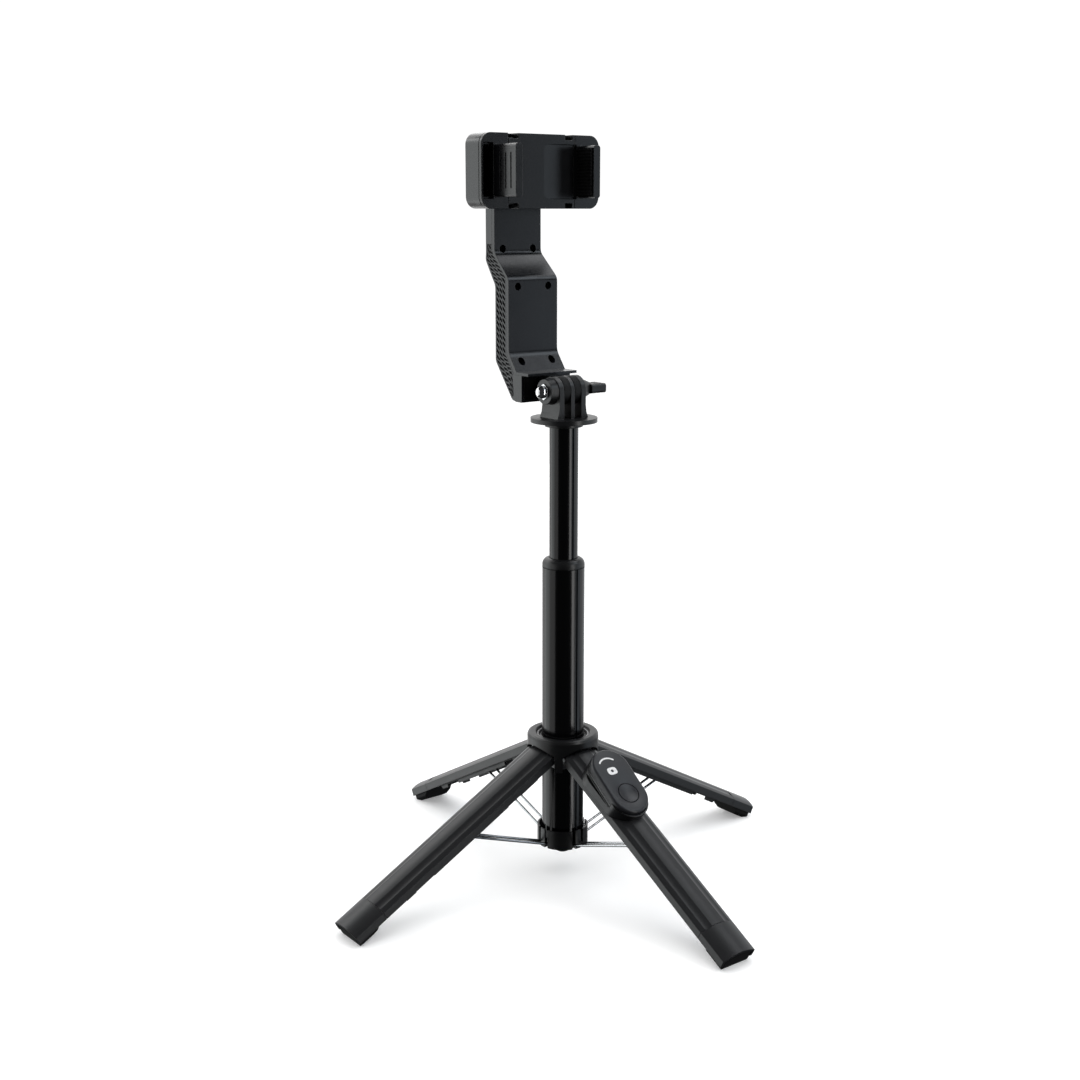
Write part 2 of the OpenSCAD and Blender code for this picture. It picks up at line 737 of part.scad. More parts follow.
module arm_hinge_block() {
    half_w = arm_w / 2 - arm_wall - 0.05;
    color("#18191b") difference() {
        union() {
            slab_x(side([[mouth_y + 0.6, -6.1], [21.6, -6.1], [24, -5.4], [24, 6.1],
                [mouth_y + 0.6, 6.1]]), -half_w, half_w);
            for (s = [-1, 1]) {
                x0 = s > 0 ? ear_inner_x + prong_gap : -ear_outer_x + prong_gap;
                x1 = s > 0 ? ear_outer_x - prong_gap : -ear_inner_x - prong_gap;
                translate([0, 0, pin_z]) rod_x(ear_r, x0, x1);
                slab_x(side([[0, -6.1], [18, -6.1], [18, 6.1], [0, 6.1]]), x0, x1);
            }
        }
        translate([0, 0, pin_z]) rod_x(bore_r, -20, 20);
    }
}

module arm_screws() {
    color("#1c1d1f") at_screws() {
        rod_y(1.1, 3.5, 7.2);
        difference() {
            rod_y(2.1, 2.3, 3.6);
            rod_y(1.1, 2, 3, $fn = 6);
        }
    }
}

module pivot_washer() {
    color("#1b1c1e") translate([0, 0, clamp_z]) difference() {
        rod_y(9.5, 40.6, 43.8);
        rod_y(bore_r, 40, 44);
    }
}

module pivot_screw() {
    color("#b9bcc0") translate([0, 0, clamp_z]) {
        rod_y(bolt_r, clamp_back_y - 1.6, 50.6);
        rod_y(4.4, 50.4, 52);
    }
}

// ---------- phone clamp ----------

// Outline of the clamp, seen from the front, between two places along X
module clamp_face(x0, x1, inset = 0) {
    translate([0, clamp_z]) intersection() {
        translate([clamp_mid_x, 0])
            rounded_rect(clamp_w - 2 * inset, clamp_h - 2 * inset, clamp_corner - inset);
        translate([x0, -50]) square([x1 - x0, 100]);
    }
}

// The hollow in front of the right jaw, which gets deeper towards it
module scoop(x1) {
    start_x = 2.4;
    corner = 3;
    end_x = x1 + corner;
    intersection() {
        translate([start_x, plate_y, clamp_z - 20]) rotate([0, 0, 3.2])
            translate([0, -5, 0]) cube([60, 5, 40]);
        slab_y(plate_y - 3, plate_y + 5) translate([(start_x + end_x) / 2, clamp_z]) intersection() {
            rounded_rect(end_x - start_x, right_jaw_h + 0.8, corner);
            translate([-60 - (end_x - start_x) / 2 + x1 - start_x, -20]) square([60, 40]);
        }
    }
}

module clamp_front_plate() {
    split_y = plate_y + 9;
    color("#4a4b50") difference() {
        slab_y(plate_y, split_y) clamp_face(left_seam_x, right_seam_x);
        slab_y(plate_y + clamp_wall, split_y + cut)
            clamp_face(left_seam_x - cut, right_seam_x + cut, clamp_wall);
        scoop(right_seam_x + cut);
        for (s = [-1, 1]) {
            translate([left_seam_x - cut, plate_y - cut, clamp_z + s * clamp_h / 2 - 3])
                cube([6.8 + cut, 8, 6]);
            translate([right_seam_x - 6.8, plate_y - cut, clamp_z + s * clamp_h / 2 - 3])
                cube([5.2, 8, 6]);
        }
    }
}

module clamp_back_cover() {
    split_y = plate_y + 9.05;
    boss_r = 9.5;
    color("#3c3d41") difference() {
        union() {
            difference() {
                slab_y(split_y, clamp_back_y) clamp_face(left_seam_x, right_seam_x);
                slab_y(split_y - cut, clamp_back_y - clamp_wall)
                    clamp_face(left_seam_x - cut, right_seam_x + cut, clamp_wall);
            }
            translate([0, 0, clamp_z]) rod_y(boss_r, clamp_back_y - 0.1, clamp_back_y + 3.3);
        }
        translate([0, 0, clamp_z]) rod_y(bolt_r, clamp_back_y - 3, clamp_back_y + 9);
        for (x = [-17, 19], z = [-10, 10]) translate([x, 0, clamp_z + z])
            rod_y(1.2, clamp_back_y - 3, clamp_back_y + 1);
        for (x = [-17, 19], z = [-10, 10]) translate([x, 0, clamp_z + z])
            rod_y(2.1, clamp_back_y - 1, clamp_back_y + 1);
    }
}

module clamp_screws() {
    color("#8f9296") for (x = [-17, 19], z = [-10, 10]) translate([x, 0, clamp_z + z]) {
        rod_y(1.2, plate_y + clamp_wall, clamp_back_y - 1);
        rod_y(2.0, clamp_back_y - 1, clamp_back_y - 0.2);
    }
}

// One sliding end: its cap, its jaw and the two rails that run inside the middle of the clamp
module clamp_end(x_in, x_out, jaw_x, jaw_h, reach, rail_y, rail_x) {
    x0 = min(x_in, x_out);
    x1 = max(x_in, x_out);
    s = sign(x_out);
    seam_y = plate_y + 2.1;
    difference() {
        slab_y(plate_y, clamp_back_y) clamp_face(x0, x1);
        slab_y(plate_y + clamp_wall, clamp_back_y - clamp_wall)
            clamp_face(min(x_in - s, x_out - s * clamp_wall), max(x_in - s, x_out - s * clamp_wall),
                clamp_wall);
        slab_y(seam_y, seam_y + 0.4) difference() {
            clamp_face(x0 - 1, x1 + 1, -1);
            clamp_face(x0 - 2, x1 + 2, 0.35);
        }
    }
    slab_y(plate_y - reach, plate_y + clamp_wall) translate([jaw_x + jaw_t / 2, clamp_z])
        rounded_rect(jaw_t, jaw_h, 1.7);
    for (z = [-1, 1]) translate([min(rail_x, x_out - s * 1), rail_y, clamp_z + z * rail_z - rail_h / 2])
        cube([abs(x_out - s * 1 - rail_x), 4.2, rail_h]);
}

module clamp_left_end() {
    groove_h = 19;
    x_out = clamp_mid_x - clamp_w / 2;
    color("#55565b") difference() {
        clamp_end(left_seam_x - seam_gap, x_out, left_jaw_x, left_jaw_h, jaw_reach, plate_y + 2.6, 4);
        for (y = [4.2, 9, 13.8]) translate([left_jaw_x - cut, plate_y - jaw_reach + y, clamp_z - groove_h / 2])
            cube([cut + 0.6, 0.8, groove_h]);
        translate([x_out + 1.4, plate_y - cut, clamp_z - left_jaw_h / 2 - 0.8])
            cube([left_jaw_x - x_out - 1.6, 3, left_jaw_h + 1.6]);
    }
}

module clamp_right_end() {
    color("#55565b") difference() {
        clamp_end(right_seam_x + seam_gap, clamp_mid_x + clamp_w / 2, right_jaw_x, right_jaw_h,
            right_jaw_reach, plate_y + 8.4, -2);
        scoop(right_jaw_x - pad_t);
    }
}

module clamp_left_pad() {
    color("#1d1e20")
        translate([left_jaw_x + jaw_t, plate_y - jaw_reach + 1.4, clamp_z - left_jaw_h / 2 + 1.4])
        cube([pad_t, jaw_reach - 1.8, left_jaw_h - 2.8]);
}

// Ribs run across the pad, away from the plate
module clamp_right_pad() {
    h = right_jaw_h - 2.8;
    ribs = 15;
    pitch = h / ribs;
    color("#1d1e20") translate([right_jaw_x - pad_t, plate_y - right_jaw_reach + 1.4, clamp_z - h / 2]) {
        translate([0.6, 0, 0]) cube([pad_t - 0.6, right_jaw_reach - 1.8, h]);
        for (k = [0:ribs - 1]) translate([0, 0, (k + 0.25) * pitch])
            cube([0.7, right_jaw_reach - 1.8, pitch / 2]);
    }
}

module clamp_springs() {
    wire_r = 0.35;
    coil_r = 1.7;
    turns = 15;
    color("#aeb1b5") for (z = [-8, 8]) translate([-9, plate_y + 7, clamp_z + z]) rotate([0, 90, 0])
        rotate_extrude() for (k = [0:turns]) translate([coil_r, k * wire_r * 1.8]) circle(wire_r, $fn = 14);
}

main_tube();
main_tube_cap();
mid_tube();
mid_tube_cap();
mid_tube_glide();
top_tube();
top_tube_glide();
strut_ring();
end_plug();
end_screw();
hub_collar();
hub_bush();
bush_ring();
leg_pins();
leg_shell(0);  // leg_shell_front
leg_shell(1);  // leg_shell_right
leg_shell(2);  // leg_shell_back
leg_shell(3);  // leg_shell_left
leg_insert(0);  // leg_insert_front
leg_insert(1);  // leg_insert_right
leg_insert(2);  // leg_insert_back
leg_insert(3);  // leg_insert_left
foot_cap(0);  // foot_cap_front
foot_cap(1);  // foot_cap_right
foot_cap(2);  // foot_cap_back
foot_cap(3);  // foot_cap_left
foot_pad(0);  // foot_pad_front
foot_pad(1);  // foot_pad_right
foot_pad(2);  // foot_pad_back
foot_pad(3);  // foot_pad_left
strut(0);  // strut_front
strut(1);  // strut_right
strut(2);  // strut_back
strut(3);  // strut_left
remote_dock();
remote_base();
remote_top_shell();
remote_button();
remote_board();
remote_battery();
head_mount();
head_bolt();
thumb_handle();
dome_nut();
arm_front_shell();
arm_back_shell();
arm_hinge_block();
arm_screws();
pivot_washer();
pivot_screw();
clamp_front_plate();
clamp_back_cover();
clamp_screws();
clamp_left_end();
clamp_right_end();
clamp_left_pad();
clamp_right_pad();
clamp_springs();
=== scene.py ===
import json
import math

import bmesh
import bpy
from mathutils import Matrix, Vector


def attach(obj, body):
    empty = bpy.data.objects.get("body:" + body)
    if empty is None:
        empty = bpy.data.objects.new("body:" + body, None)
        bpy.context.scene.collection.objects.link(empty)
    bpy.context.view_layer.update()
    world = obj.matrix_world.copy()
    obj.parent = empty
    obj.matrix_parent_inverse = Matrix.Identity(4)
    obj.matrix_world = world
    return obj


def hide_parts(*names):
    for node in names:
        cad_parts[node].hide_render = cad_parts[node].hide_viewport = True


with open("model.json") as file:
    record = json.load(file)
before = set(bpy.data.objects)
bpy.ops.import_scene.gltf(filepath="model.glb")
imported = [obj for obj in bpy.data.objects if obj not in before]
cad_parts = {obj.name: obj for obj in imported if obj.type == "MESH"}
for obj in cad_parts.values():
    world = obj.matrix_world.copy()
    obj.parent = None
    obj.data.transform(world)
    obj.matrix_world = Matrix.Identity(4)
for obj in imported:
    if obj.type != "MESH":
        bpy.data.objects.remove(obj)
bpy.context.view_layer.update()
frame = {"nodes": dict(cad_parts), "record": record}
NODES = frame["nodes"]
MM = 0.001

# ---------------------------------------------------------------- materials


class Shader:
    """Builds one procedural material: a Principled shader with its nodes."""

    def __init__(self, name):
        self.mat = bpy.data.materials.new(name)
        self.mat.use_nodes = True
        self.tree = self.mat.node_tree
        self.tree.nodes.clear()
        self.out = self.add("ShaderNodeOutputMaterial")
        self.bsdf = self.add("ShaderNodeBsdfPrincipled")
        self.link(self.bsdf, "BSDF", self.out, "Surface")
        self.coord = self.add("ShaderNodeTexCoord")

    def add(self, kind, **values):
        node = self.tree.nodes.new(kind)
        for key, value in values.items():
            setattr(node, key, value)
        return node

    def link(self, a, a_out, b, b_in):
        self.tree.links.new(a.outputs[a_out], b.inputs[b_in])

    def place(self, scale=(1, 1, 1)):
        """Object coordinates, scaled."""
        mapping = self.add("ShaderNodeMapping")
        mapping.inputs["Scale"].default_value = scale
        self.link(self.coord, "Object", mapping, "Vector")
        return mapping

    def noise(self, scale, detail=3.0, rough=0.55, stretch=(1, 1, 1)):
        node = self.add("ShaderNodeTexNoise")
        node.inputs["Scale"].default_value = scale
        node.inputs["Detail"].default_value = detail
        node.inputs["Roughness"].default_value = rough
        self.link(self.place(stretch), "Vector", node, "Vector")
        return node

    def cells(self, scale):
        node = self.add("ShaderNodeTexVoronoi")
        node.inputs["Scale"].default_value = scale
        self.link(self.place(), "Vector", node, "Vector")
        return node

    def ramp(self, source, output, stops):
        node = self.add("ShaderNodeValToRGB")
        ramp = node.color_ramp
        while len(ramp.elements) < len(stops):
            ramp.elements.new(0.5)
        for element, (place, colour) in zip(ramp.elements, stops):
            element.position = place
            element.color = (*colour, 1.0)
        self.link(source, output, node, "Fac")
        return node

    def spread(self, source, output, start, end, to, reach=(0.3, 0.7)):
        """Maps the reach of a value to start..end on one of the shader's sockets."""
        node = self.add("ShaderNodeMapRange")
        for key, value in zip(("From Min", "From Max", "To Min", "To Max"), (*reach, start, end)):
            node.inputs[key].default_value = value
        self.link(source, output, node, "Value")
        self.link(node, "Result", self.bsdf, to)

    def colour(self, source, dark, light, low, high):
        """Base colour from dark to light, between the values low and high of a noise."""
        tone = self.ramp(source, "Fac", [(low, dark), (high, light)])
        self.link(tone, "Color", self.bsdf, "Base Color")

    def relief(self, layers, edge=0.0):
        """Bump layers (node, output, strength, height), over edges rounded by edge."""
        last = None
        if edge:
            last = self.add("ShaderNodeBevel", samples=4)
            last.inputs["Radius"].default_value = edge
        for node, output, strength, height in layers:
            bump = self.add("ShaderNodeBump")
            bump.inputs["Strength"].default_value = strength
            bump.inputs["Distance"].default_value = height
            self.link(node, output, bump, "Height")
            if last is not None:
                self.link(last, "Normal", bump, "Normal")
            last = bump
        self.link(last, "Normal", self.bsdf, "Normal")


GRAIN_HEIGHT = 0.00002


def plastic(name, dark, light, rough, spec=0.5, grain=2600.0, grain_strength=0.35, edge=0.0004):
    """Moulded plastic: a fine spark-eroded grain, faint clouding and uneven gloss."""
    s = Shader(name)
    s.colour(s.noise(28.0, 4.0, 0.6), dark, light, 0.32, 0.68)
    s.spread(s.noise(75.0, 5.0, 0.65), "Fac", *rough, "Roughness")
    s.bsdf.inputs["Specular IOR Level"].default_value = spec
    fine = s.noise(grain, 2.0, 0.5)
    pits = s.cells(grain * 0.55)
    s.relief([(fine, "Fac", grain_strength, GRAIN_HEIGHT),
              (pits, "Distance", grain_strength * 0.5, GRAIN_HEIGHT)], edge)
    return s.mat


def anodised(name, dark, light, rough=(0.15, 0.2)):
    """Anodised tube: fine drawing lines along Z under a glossy oxide."""
    s = Shader(name)
    streaks = s.noise(900.0, 3.0, 0.6, (1, 1, 0.012))
    s.colour(streaks, dark, light, 0.35, 0.65)
    s.bsdf.inputs["Specular IOR Level"].default_value = 0.4
    s.spread(s.noise(60.0, 5.0, 0.65, (1, 1, 0.4)), "Fac", *rough, "Roughness")
    s.relief([(streaks, "Fac", 0.025, 0.000004)], 0.0002)
    return s.mat


def metal(name, dark, light, rough, bump=0.1, edge=0.0002):
    """Bare or plated metal: a fine texture and uneven polish."""
    s = Shader(name)
    lines = s.noise(1500.0, 3.0, 0.6)
    s.colour(lines, dark, light, 0.3, 0.7)
    s.bsdf.inputs["Metallic"].default_value = 1.0
    s.spread(s.noise(220.0, 5.0, 0.7), "Fac", *rough, "Roughness")
    s.relief([(lines, "Fac", bump, 0.00001)], edge)
    return s.mat


def rubber(name, dark, light):
    """Rubber: dusty, rough and finely pebbled."""
    s = Shader(name)
    dust = s.noise(140.0, 5.0, 0.7)
    s.colour(dust, dark, light, 0.35, 0.75)
    s.spread(dust, "Fac", 0.62, 0.85, "Roughness")
    s.bsdf.inputs["Specular IOR Level"].default_value = 0.3
    pebble = s.cells(1500.0)
    fine = s.noise(3200.0, 2.0, 0.5)
    s.relief([(pebble, "Distance", 0.5, 0.00005), (fine, "Fac", 0.3, 0.00002)], 0.0003)
    return s.mat


MATERIALS = {
    "leg_shell": plastic("satin_leg_plastic", (0.0098, 0.01, 0.0108), (0.0108, 0.011, 0.0119), (0.37, 0.41)),
    "leg_insert": plastic("dark_leg_channel_plastic", (0.003, 0.003, 0.0032), (0.0045, 0.0045, 0.0048),
                          (0.36, 0.46)),
    "sole_rubber": rubber("sole_rubber", (0.0025, 0.0025, 0.0027), (0.006, 0.006, 0.006)),
    "strut_wire": metal("bright_strut_wire", (0.42, 0.43, 0.44), (0.66, 0.67, 0.68), (0.1, 0.2)),
    "tube_anodised": anodised("black_anodised_tube", (0.0007, 0.0007, 0.0009), (0.0012, 0.0012, 0.0014)),
    "mast_plastic": plastic("satin_mast_plastic", (0.0045, 0.0046, 0.0049), (0.006, 0.0061, 0.0065),
                            (0.3, 0.4)),
    "glide_plastic": plastic("grey_glide_plastic", (0.22, 0.22, 0.225), (0.3, 0.3, 0.305), (0.3, 0.4)),
    "steel_fastener": metal("zinc_plated_steel", (0.32, 0.33, 0.34), (0.5, 0.51, 0.52), (0.28, 0.42)),
    "chrome_nut": metal("polished_chrome", (0.78, 0.79, 0.8), (0.86, 0.87, 0.88), (0.04, 0.09), bump=0.03,
                        edge=0.00025),
    "spring_steel": metal("spring_wire", (0.35, 0.35, 0.36), (0.5, 0.5, 0.51), (0.25, 0.38)),
    "dock_plastic": plastic("satin_dock_plastic", (0.0035, 0.0035, 0.0038), (0.005, 0.005, 0.0054),
                            (0.26, 0.36)),
    "remote_base_plastic": plastic("remote_base_plastic", (0.0025, 0.0025, 0.0028), (0.004, 0.004, 0.0043),
                                   (0.22, 0.32)),
    "remote_shell_plastic": plastic("remote_shell_plastic", (0.011, 0.0115, 0.0136), (0.014, 0.0147, 0.0172),
                                    (0.3, 0.38), grain=3400.0, grain_strength=0.2, edge=0.0003),
    "button_plastic": plastic("button_plastic", (0.011, 0.0115, 0.0136), (0.014, 0.0147, 0.0172),
                              (0.27, 0.35), grain=3400.0, grain_strength=0.2, edge=0.0002),
    "wiper_ring": plastic("pale_wiper_ring", (0.2, 0.2, 0.205), (0.28, 0.28, 0.285), (0.3, 0.4)),
    "black_screws": metal("black_oxide_steel", (0.003, 0.003, 0.003), (0.006, 0.006, 0.006), (0.45, 0.6)),
    "board": plastic("solder_mask", (0.01, 0.06, 0.025), (0.015, 0.09, 0.04), (0.25, 0.35)),
    "battery_steel": metal("cell_steel", (0.45, 0.45, 0.46), (0.6, 0.6, 0.61), (0.2, 0.35)),
    "head_plastic": plastic("satin_head_plastic", (0.0055, 0.0057, 0.0063), (0.0078, 0.008, 0.0088),
                            (0.3, 0.4)),
    "black_plastic": plastic("black_plastic", (0.0012, 0.0012, 0.0013), (0.002, 0.002, 0.0022), (0.45, 0.6),
                             spec=0.25),
    "arm_plastic": plastic("satin_arm_plastic", (0.0045, 0.005, 0.0066), (0.006, 0.0066, 0.0084),
                           (0.19, 0.25)),
    "jaw_rubber": rubber("jaw_rubber", (0.003, 0.003, 0.0032), (0.006, 0.006, 0.0065)),
    "clamp_plastic": plastic("satin_clamp_plastic", (0.0034, 0.0036, 0.0044), (0.0046, 0.0049, 0.0058),
                             (0.21, 0.27), edge=0.0006),
}

SLOT_OF = {p["node"]: p["material_slot"] for p in frame["record"]["subparts"]}
for node_name, obj in NODES.items():
    obj.data.materials.clear()
    obj.data.materials.append(MATERIALS[SLOT_OF[node_name]])

# ---------------------------------------------------------------- mesh helpers


SHARP_ANGLE = math.radians(32)


def put(name, data):
    """A new object in the scene."""
    obj = bpy.data.objects.new(name, data)
    bpy.context.scene.collection.objects.link(obj)
    return obj


def mesh_of(name, bm):
    """Turns a bmesh into a mesh and frees it."""
    mesh = bpy.data.meshes.new(name)
    bm.to_mesh(mesh)
    bm.free()
    return mesh


def piece(name, bm, slot, body, smooth=True, material=None):
    """Turns a finished bmesh, in metres and in place, into a piece that rides on a body."""
    bmesh.ops.recalc_face_normals(bm, faces=bm.faces[:])
    mesh = mesh_of(name, bm)
    if smooth:
        mesh.shade_smooth()
        mesh.set_sharp_from_angle(angle=SHARP_ANGLE)
    obj = put(name, mesh)
    mesh.materials.append(material or MATERIALS[slot])
    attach(obj, body)
    return obj


def prism(bm, outline, place, low, high):
    """A closed prism over a 2D outline; place(u, v, w) is the point over (u, v) at height w."""
    floor_ring = [bm.verts.new(place(u, v, low)) for u, v in outline]
    roof_ring = [bm.verts.new(place(u, v, high)) for u, v in outline]
    count = len(outline)
    for k in range(count):
        bm.faces.new((floor_ring[k], floor_ring[(k + 1) % count], roof_ring[(k + 1) % count], roof_ring[k]))
    bm.faces.new(roof_ring)
    bm.faces.new(floor_ring[::-1])


def rings(bm, loops, close_top=True, close_bottom=True):
    """Joins rings of points, each of the same length, into one skin."""
    made = [[bm.verts.new(point) for point in loop] for loop in loops]
    count = len(made[0])
    for a, b in zip(made, made[1:]):
        for k in range(count):
            bm.faces.new((a[k], a[(k + 1) % count], b[(k + 1) % count], b[k]))
    if close_bottom:
        bm.faces.new(made[0][::-1])
    if close_top:
        bm.faces.new(made[-1])


def closed_loop(bm, loops, merge):
    """Joins rings of points into one skin, the last ring to the first."""
    rings(bm, loops + [loops[0]], close_top=False, close_bottom=False)
    bmesh.ops.remove_doubles(bm, verts=bm.verts[:], dist=merge)


def turns(count):
    """Angles that go once round."""
    return [math.tau * n / count for n in range(count)]


JOINTS = {j["name"]: j for j in frame["record"]["behaviour"]["joints"]}
PIN_Z = JOINTS["arm_tilt"]["pos_m"][2]

# ---------------------------------------------------------------- lattice in the sides of the arm

# Front and back edge of the sunk panel, as matching (y, height above the pin) in mm
PANEL_FRONT = [(47.0, 81.0), (47.0, 77.4), (32.4, 62.8), (32.4, 19.2), (25.8, 9.6), (24.4, -4.0)]
PANEL_BACK = [(51.1, 81.0), (51.1, 72.5), (40.8, 58.4), (40.8, 15.2), (30.6, 1.0), (26.2, -5.0)]
PANEL_DEPTH = 0.7
UPPER_HALF, LOWER_HALF = 16.7, 17.6  # half widths of the arm over and under its bend
BEND_HIGH, BEND_LOW = 76.1, 62.0
COLUMNS = 3  # columns of slanted ribs, with a divider between
RIB_RUN, RIB_PITCH, RIB_STAGGER = 4.0, 3.3, 1.15  # fall of a rib, step of the ribs and of the columns
RIB_WIDTH, DIVIDER_WIDTH = 1.35, 0.075  # in mm, and as a share of the panel's width
SHORTEST_RIB = 0.8
RIB_PROUD, DIVIDER_PROUD = -0.02, -0.05  # of their tops over the arm's side
RIB_STEPS, PANEL_STEPS = 4, 60
# a black sheet over the panel's floor is painted shade that darkens the gaps between the ribs; its edges and
# lift follow
SHADE_SHEET_EDGES = ((0.02, 0.0), (0.98, 0.0), (0.98, 0.12), (0.02, 0.12))  # across the panel, lift
SHADE_SHEET_LIFT = 0.02

panel_middle = [[(front[n] + rear[n]) / 2 for n in (0, 1)]
                for front, rear in zip(PANEL_FRONT, PANEL_BACK)]
lengths = [0.0]  # along the panel's middle line, to each of its corners
for here, ahead in zip(panel_middle, panel_middle[1:]):
    lengths.append(lengths[-1] + math.dist(here, ahead))
PANEL_LENGTH = lengths[-1]


def on_panel(along, across):
    """(y, height) in mm of a place: along from the top, across from 0 in front to 1 behind."""
    along = min(max(along, 0.0), PANEL_LENGTH)
    k = max(n for n in range(len(lengths) - 1) if lengths[n] <= along)
    t = (along - lengths[k]) / (lengths[k + 1] - lengths[k])
    front = [PANEL_FRONT[k][n] * (1 - t) + PANEL_FRONT[k + 1][n] * t for n in (0, 1)]
    rear = [PANEL_BACK[k][n] * (1 - t) + PANEL_BACK[k + 1][n] * t for n in (0, 1)]
    return front[0] * (1 - across) + rear[0] * across, front[1] * (1 - across) + rear[1] * across


def half_width(height):
    """Half of the arm's width at a height above the pin, in mm."""
    t = min(max((BEND_HIGH - height) / (BEND_HIGH - BEND_LOW), 0.0), 1.0)
    return UPPER_HALF * (1 - t) + LOWER_HALF * t


def above_pin(x, y, height):
    """A point in metres, from millimetres in the arm's own frame over the pin."""
    return Vector((x, y, height)) * MM + Vector((0, 0, PIN_Z))


def strip(bm, slanted, start, end, width, hand, proud, steps):
    """A rib on the panel between two (along, across) places. Its width runs along the panel in mm
    where it is slanted, and across as a share of the panel where it is not."""
    loops = []
    for n in range(steps + 1):
        t = n / steps
        along = start[0] * (1 - t) + end[0] * t
        across = start[1] * (1 - t) + end[1] * t
        if slanted:
            edges = [on_panel(along - width / 2, across), on_panel(along + width / 2, across)]
        else:
            edges = [on_panel(along, across - width / 2), on_panel(along, across + width / 2)]
        (y0, h0), (y1, h1) = edges
        out0, out1 = half_width(h0) + proud, half_width(h1) + proud
        sunk = PANEL_DEPTH + proud
        corners = ((out0 - sunk, y0, h0), (out0, y0, h0), (out1, y1, h1), (out1 - sunk, y1, h1))
        loops.append([above_pin(hand * x, y, h) for x, y, h in corners])
    rings(bm, loops)


for hand, hand_name in ((-1, "left"), (1, "right")):
    bm = bmesh.new()
    for column in range(COLUMNS):
        low, high = column / COLUMNS, (column + 1) / COLUMNS
        along = -RIB_RUN + RIB_STAGGER * column
        while along < PANEL_LENGTH:
            start, end = max(along, 0.0), min(along + RIB_RUN, PANEL_LENGTH)
            if end - start > SHORTEST_RIB:
                # each rib runs down towards the front
                ends = [(place, high - (high - low) * (place - along) / RIB_RUN) for place in (start, end)]
                strip(bm, True, *ends, RIB_WIDTH, hand, RIB_PROUD, RIB_STEPS)
            along += RIB_PITCH
    for line in range(1, COLUMNS):
        across = line / COLUMNS
        strip(bm, False, (0.0, across), (PANEL_LENGTH, across), DIVIDER_WIDTH, hand, DIVIDER_PROUD,
              PANEL_STEPS)
    piece("arm_lattice_" + hand_name, bm, "arm_plastic", "arm", smooth=False)

    # painted shade: a black sheet over the panel's floor, a hair above the CAD floor, that darkens the gaps
    # between the ribs
    bm = bmesh.new()
    loops = []
    for n in range(PANEL_STEPS + 1):
        loop = []
        for across, lift in SHADE_SHEET_EDGES:
            y, height = on_panel(PANEL_LENGTH * n / PANEL_STEPS, across)
            out = half_width(height) - PANEL_DEPTH + SHADE_SHEET_LIFT + lift
            loop.append(above_pin(hand * out, y, height))
        loops.append(loop)
    rings(bm, loops)
    piece("arm_lattice_shade_sheet_" + hand_name, bm, "black_plastic", "arm", smooth=False)

# ---------------------------------------------------------------- remote

REMOTE_N = Vector(JOINTS["remote_lift"]["axis"]).normalized()
REMOTE_T = Vector((0, REMOTE_N.z, -REMOTE_N.y))


def spans(node):
    """Range of a CAD node along X, along the remote and off its face, in metres."""
    points = [v.co for v in NODES[node].data.vertices]
    return [(min(p.dot(d) for p in points), max(p.dot(d) for p in points))
            for d in (Vector((1, 0, 0)), REMOTE_T, REMOTE_N)]


(shell_x0, shell_x1), (shell_s0, shell_s1), (shell_n0, shell_n1) = spans("remote_top_shell")
_, (button_s0, button_s1), (button_n0, button_n1) = spans("remote_button")
SHELL_R = (shell_x1 - shell_x0) / 2
SHELL_L = shell_s1 - shell_s0
BUTTON_S = (button_s0 + button_s1) / 2
BUTTON_R = (button_s1 - button_s0) / 2


def on_face(u, s, lift):
    """A point u across the remote, s along it and lift off its face, in metres."""
    return Vector((u, 0, 0)) + REMOTE_T * s + REMOTE_N * (shell_n1 + lift)


HALVINGS = 40  # of the search for the remote's outline
ROUND = 160  # points round a loop of the remote
ARC_STEPS = 8  # of its rounded edge and of the button's dish


def stadium_reach(angle, inset):
    """Distance from the button's centre to the remote's outline, set in, in one direction."""
    low, high = shell_s0 + SHELL_R, shell_s1 - SHELL_R
    near, far = 0.0, SHELL_L
    for _ in range(HALVINGS):
        mid = (near + far) / 2
        u = mid * math.cos(angle)
        s = BUTTON_S + mid * math.sin(angle)
        off = math.hypot(u, s - min(max(s, low), high))
        if off < SHELL_R - inset:
            near = mid
        else:
            far = mid
    return near


def face_loop(inset, lift):
    """The remote's outline, set in, round the button's centre."""
    reaches = [(angle, stadium_reach(angle, inset)) for angle in turns(ROUND)]
    return [on_face(r * math.cos(angle), BUTTON_S + r * math.sin(angle), lift) for angle, r in reaches]


def disc_loop(radius, lift):
    """A circle round the button's centre."""
    return [on_face(radius * math.cos(angle), BUTTON_S + radius * math.sin(angle), lift)
            for angle in turns(ROUND)]


EDGE_R = 1.5 * MM
WALL = 1.4 * MM
FACE_T = 1.2 * MM
shell_depth = shell_n1 - shell_n0
loops = [face_loop(WALL, -shell_depth), face_loop(0.12 * MM, -shell_depth),
         face_loop(0.0, -shell_depth + 0.15 * MM), face_loop(0.0, -EDGE_R)]
for n in range(1, ARC_STEPS + 1):
    turn = math.radians(90 * n / ARC_STEPS)
    loops.append(face_loop(EDGE_R * (1 - math.cos(turn)), -EDGE_R * (1 - math.sin(turn))))
hole = BUTTON_R + 0.28 * MM
loops += [disc_loop(hole + 0.25 * MM, 0.0), disc_loop(hole + 0.08 * MM, -0.05 * MM),
          disc_loop(hole, -0.2 * MM), disc_loop(hole, -FACE_T), face_loop(WALL, -FACE_T)]
bm = bmesh.new()
closed_loop(bm, loops, 1e-7)
shell = piece("remote_shell", bm, "remote_shell_plastic", "remote")
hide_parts("remote_top_shell")

